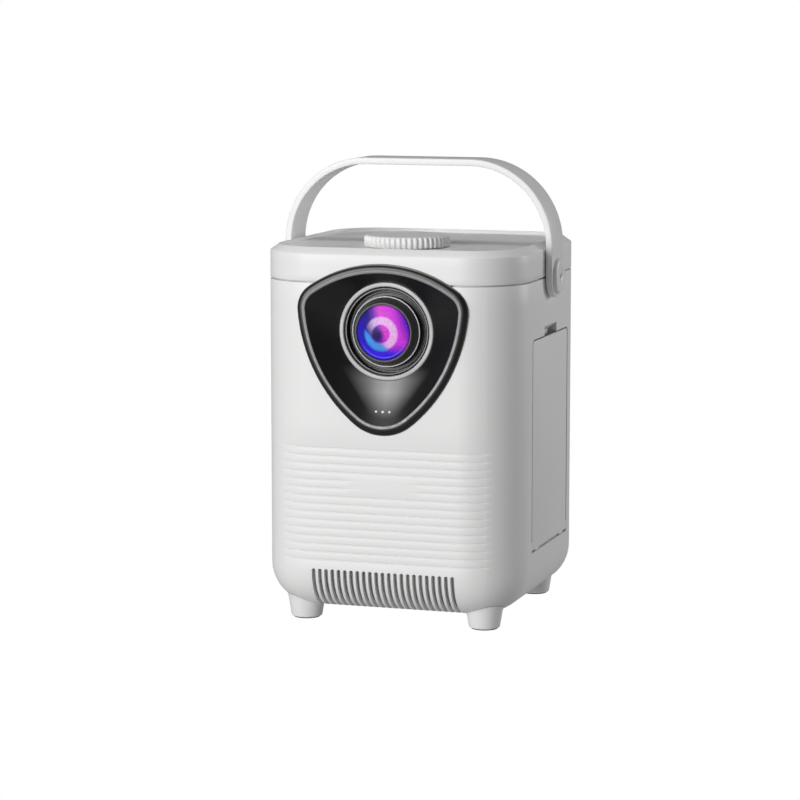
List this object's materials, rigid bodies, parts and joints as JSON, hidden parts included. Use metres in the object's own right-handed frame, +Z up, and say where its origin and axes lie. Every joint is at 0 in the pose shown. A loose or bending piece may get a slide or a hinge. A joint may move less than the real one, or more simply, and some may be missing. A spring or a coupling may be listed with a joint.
{
  "type": "home projector",
  "caption": "Upright home projector with rounded case, swinging carry handle, recessed lens in a shield-shaped bezel, focus dial on the lid and a hinged cleaning door.",
  "frame": {"origin": "on the floor, below the middle of the case", "axes": "+Z up, the lens looks along -Y, +X to the viewer's right when facing the lens"},
  "size_m": [0.1626, 0.155, 0.2583],
  "materials": {
    "case_plastic": "fine satin grain",
    "lid_plastic": "fine satin grain",
    "handle_plastic": "smooth satin",
    "black_plastic": "smooth",
    "trim": "satin",
    "light_lens": "smooth",
    "lens_metal": "turned",
    "barrel_black": "satin",
    "lens_glass": "coated, polished",
    "inner_black": "moulded",
    "brass": "turned",
    "steel": "plain",
    "rubber": "matt",
    "mirror_face": "polished",
    "panel_glass": "polished",
    "clear_glass": "polished",
    "reflector_metal": "polished",
    "led_board": "plain",
    "sink_metal": "extruded",
    "circuit_board": "solder mask",
    "socket_metal": "plated",
    "filter_mesh": "fine mesh",
    "window_red": "smooth"
  },
  "bodies": {
    "case": {"main_housing": "case_plastic", "top_lid": "lid_plastic", "base_plate": "case_plastic", "rear_panel": "case_plastic", "intake_filter": "filter_mesh", "feet": "case_plastic", "foot_pads": "rubber", "door_hinge_pins": "steel", "door_gasket": "rubber", "catch_plate": "steel", "lens_bezel": "black_plastic", "bezel_trim": "trim", "indicator_lights": "light_lens", "lens_ring": "lens_metal", "lens_tube": "inner_black", "knob_bush": "brass", "pivot_pins": "steel", "pivot_brackets": "steel", "mirror_housing": "inner_black", "mirror_glass": "mirror_face", "engine_housing": "inner_black", "service_cover": "trim", "lcd_panel": "panel_glass", "fresnel_lenses": "clear_glass", "heat_glass": "clear_glass", "condenser_lens": "clear_glass", "reflector": "reflector_metal", "led_module": "led_board", "heat_sink": "sink_metal", "lamp_fan_frame": "inner_black", "fan_duct": "inner_black", "exhaust_fan_frame": "inner_black", "chassis_plates": "steel", "main_board": "circuit_board", "power_board": "circuit_board", "port_board": "circuit_board", "port_sockets": "socket_metal", "power_inlet": "inner_black", "speaker": "inner_black", "switch_board": "circuit_board", "remote_window": "window_red", "tripod_insert": "brass", "screws": "steel"},
    "handle": {"handle": "handle_plastic", "pivot_caps": "handle_plastic"},
    "focus_dial": {"focus_knob": "lid_plastic", "focus_shaft": "steel", "focus_pinion": "brass"},
    "focus_barrel": {"lens_barrel": "barrel_black", "lens_retainer": "barrel_black", "front_lens": "lens_glass", "middle_lens": "clear_glass", "rear_lens": "clear_glass", "lens_spacers": "barrel_black", "focus_rack": "brass"},
    "door": {"side_door": "case_plastic", "door_magnet": "steel"},
    "power_button": {"power_button": "trim"},
    "lamp_fan": {"lamp_fan_rotor": "inner_black"},
    "exhaust_fan": {"exhaust_fan_rotor": "inner_black"}
  },
  "joints": [
    {"name": "handle_swing", "type": "hinge", "parent": "case", "child": "handle", "pos_m": [0, 0, 0.193], "axis": [1, 0, 0], "range_deg": [-24, 24]},
    {"name": "dial_turn", "type": "hinge", "parent": "case", "child": "focus_dial", "pos_m": [0, -0.0306, 0.21], "axis": [0, 0, 1], "range_deg": [-70, 70]},
    {"name": "focus_slide", "type": "slide", "parent": "case", "child": "focus_barrel", "axis": [0, 1, 0], "range_m": [-0.0048, 0.0048]},
    {"name": "door_open", "type": "hinge", "parent": "case", "child": "door", "pos_m": [0.0731, 0.0015, 0.0426], "axis": [0, 1, 0], "range_deg": [0, 85]},
    {"name": "power_press", "type": "slide", "parent": "case", "child": "power_button", "axis": [0, -1, 0], "range_m": [0, 0.0008], "stiffness_N_per_m": 600, "springref_m": -0.0008},
    {"name": "lamp_fan_spin", "type": "hinge", "parent": "case", "child": "lamp_fan", "pos_m": [0, -0.0265, 0.046], "axis": [0, 1, 0], "continuous": true},
    {"name": "exhaust_fan_spin", "type": "hinge", "parent": "case", "child": "exhaust_fan", "pos_m": [0, 0.0625, 0.12], "axis": [0, 1, 0], "continuous": true}
  ],
  "couplings": [
    {"joint": "dial_turn", "follows": "focus_slide", "rad_per_m": 250}
  ]
}
